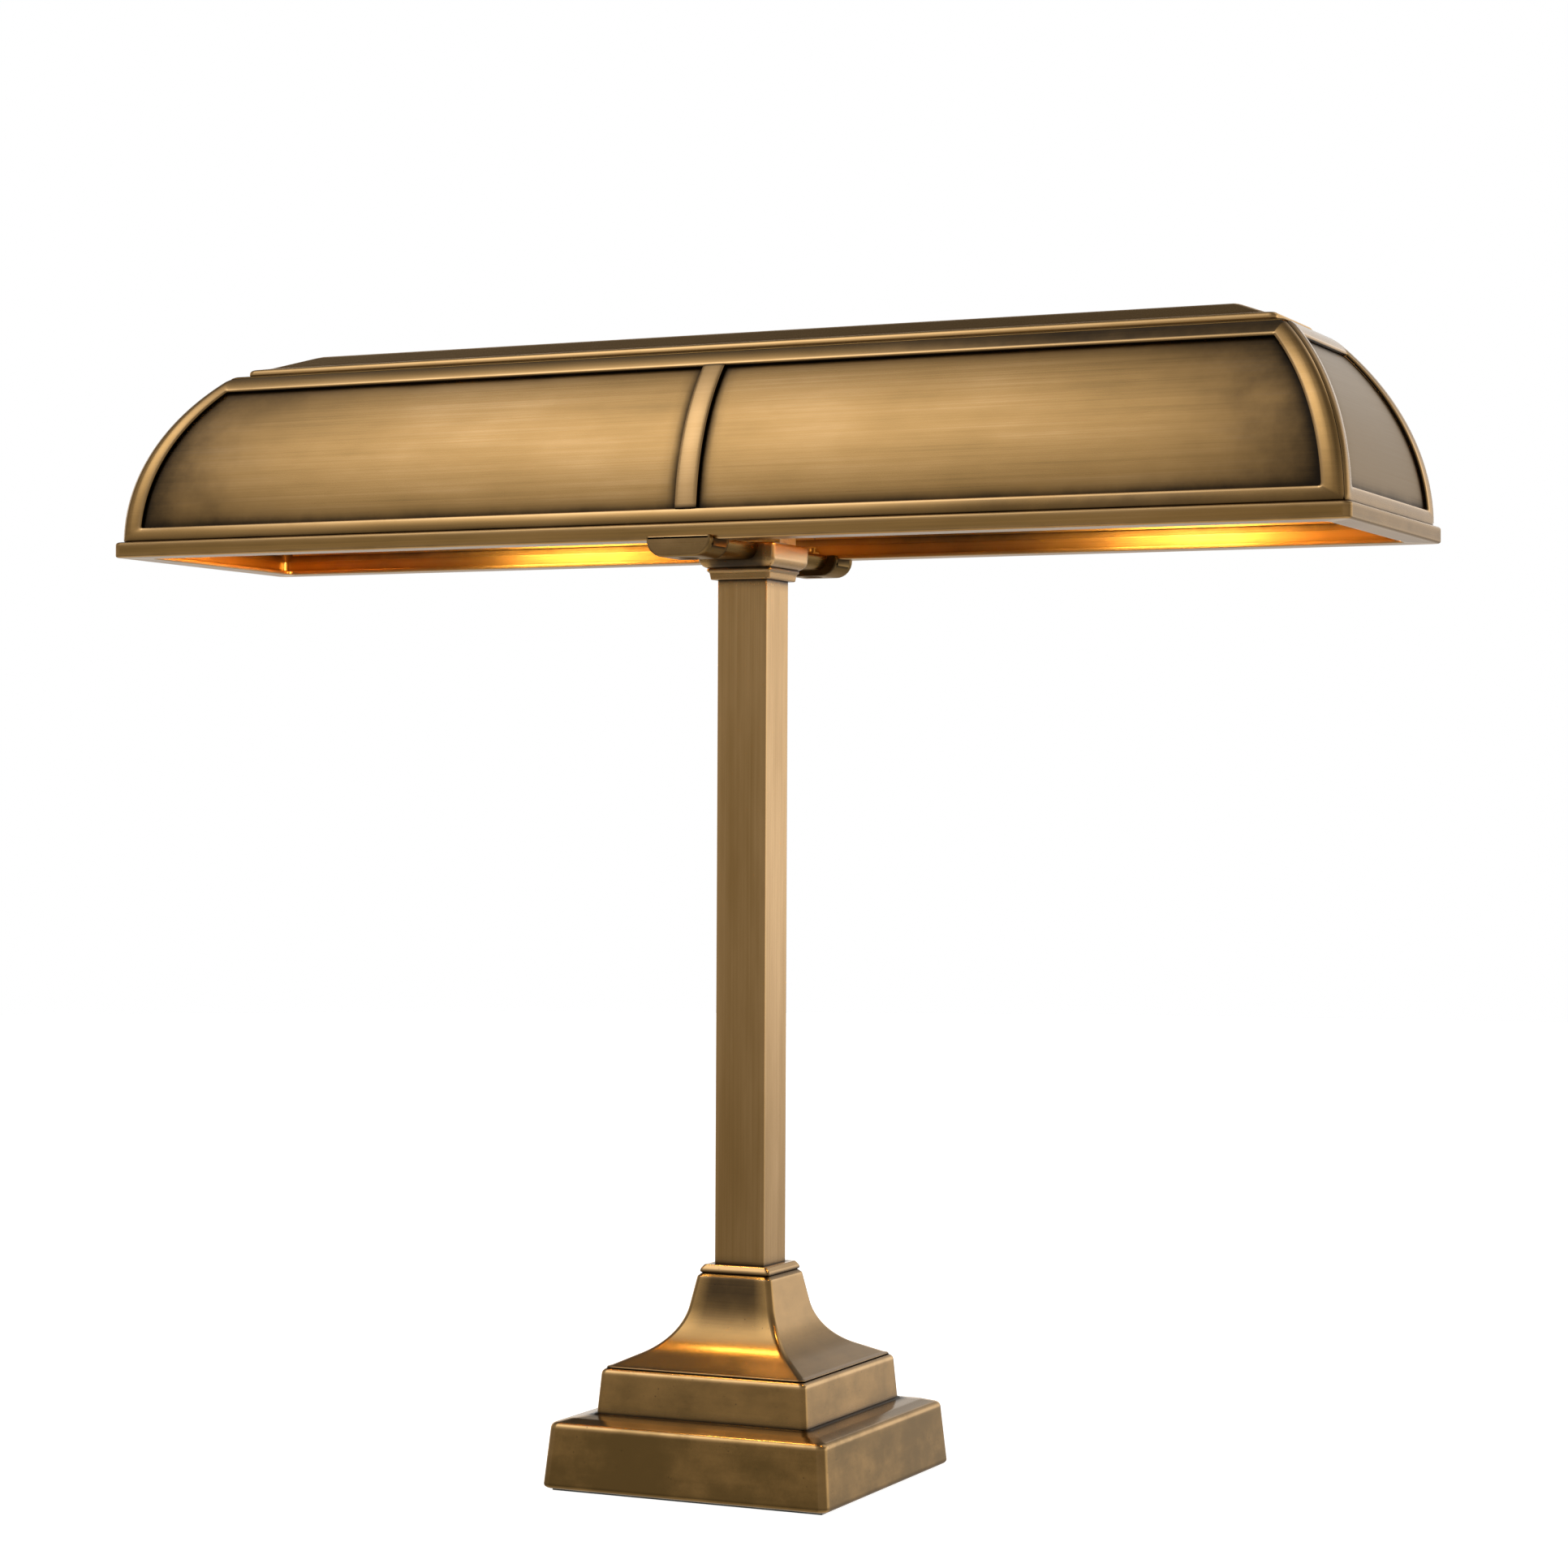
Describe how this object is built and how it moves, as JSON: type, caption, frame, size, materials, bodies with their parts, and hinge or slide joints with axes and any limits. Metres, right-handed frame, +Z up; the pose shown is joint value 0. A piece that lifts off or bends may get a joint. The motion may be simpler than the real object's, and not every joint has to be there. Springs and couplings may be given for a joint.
{
  "type": "banker desk lamp",
  "caption": "Desk lamp with a long panelled brass shade, open below, clamped by its rim in hooked arms on a square column and stepped base.",
  "frame": {"origin": "centre of the base's underside, on the table top", "axes": "+Z up the column, +X along the shade to the right seen from the front, -Y to the front"},
  "size_m": [0.62, 0.16, 0.5385],
  "materials": {
    "antique_brass": "brushed antique brass, darkened in the recesses and worn bright on the edges",
    "dark_brass": "dark patinated brass",
    "bright_brass": "plain rolled brass",
    "zinc_steel": "zinc plated",
    "cast_iron": "black primed",
    "felt": "pressed wool felt",
    "black_rubber": "matt",
    "black_phenolic": "moulded phenolic",
    "ceramic": "glazed steatite",
    "lead_jacket": "silicone jacket",
    "filament_phosphor": "glowing phosphor",
    "clear_glass": "clear"
  },
  "bodies": {
    "stand": {"felt_pad": "felt", "bottom_plate": "zinc_steel", "base_weight": "cast_iron", "plate_screws": "zinc_steel", "base_plinth": "antique_brass", "base_riser": "antique_brass", "base_cove": "antique_brass", "base_collar": "antique_brass", "column_tube": "antique_brass", "capital_step": "antique_brass", "capital_block": "antique_brass", "arm_front": "antique_brass", "arm_back": "antique_brass", "flange_pads": "black_rubber", "clamp_screws": "dark_brass", "clamp_nuts": "dark_brass", "threaded_rod": "zinc_steel", "rod_nuts": "zinc_steel", "rod_washers": "zinc_steel", "cord_bushing": "black_rubber", "terminal_block": "ceramic", "shade_rim": "antique_brass", "bottom_rail": "antique_brass", "top_rail": "antique_brass", "corner_stiles": "antique_brass", "mullion_front": "antique_brass", "mullion_back": "antique_brass", "panel_front_left": "antique_brass", "panel_front_right": "antique_brass", "panel_back_left": "antique_brass", "panel_back_right": "antique_brass", "panel_end_left": "antique_brass", "panel_end_right": "antique_brass", "crown_plate": "antique_brass", "crown_step": "antique_brass", "crown_ridge": "antique_brass", "holder_strap": "zinc_steel", "nipple_nuts": "zinc_steel", "nipple_left": "zinc_steel", "nipple_right": "zinc_steel", "holder_left": "black_phenolic", "holder_right": "black_phenolic", "insert_left": "ceramic", "insert_right": "ceramic", "sleeve_left": "bright_brass", "sleeve_right": "bright_brass", "lead_left": "lead_jacket", "lead_right": "lead_jacket"},
    "left_tip": {"tip_left": "zinc_steel"},
    "right_tip": {"tip_right": "zinc_steel"},
    "left_lamp": {"cap_left": "bright_brass", "filament_left": "filament_phosphor", "glass_left": "clear_glass"},
    "right_lamp": {"cap_right": "bright_brass", "filament_right": "filament_phosphor", "glass_right": "clear_glass"}
  },
  "joints": [
    {"name": "left_lamp_travel", "type": "slide", "parent": "stand", "child": "left_tip", "axis": [-1, 0, 0], "range_m": [0, 0.01693]},
    {"name": "left_lamp_turn", "type": "hinge", "parent": "left_tip", "child": "left_lamp", "pos_m": [-0.1, 0, 0.472], "axis": [-1, 0, 0], "range_deg": [0, 2160]},
    {"name": "right_lamp_travel", "type": "slide", "parent": "stand", "child": "right_tip", "axis": [1, 0, 0], "range_m": [0, 0.01693]},
    {"name": "right_lamp_turn", "type": "hinge", "parent": "right_tip", "child": "right_lamp", "pos_m": [0.1, 0, 0.472], "axis": [1, 0, 0], "range_deg": [0, 2160]}
  ],
  "couplings": [
    {"joint": "left_lamp_turn", "follows": "left_lamp_travel", "rad_per_m": 2226.5},
    {"joint": "right_lamp_turn", "follows": "right_lamp_travel", "rad_per_m": 2226.5}
  ]
}
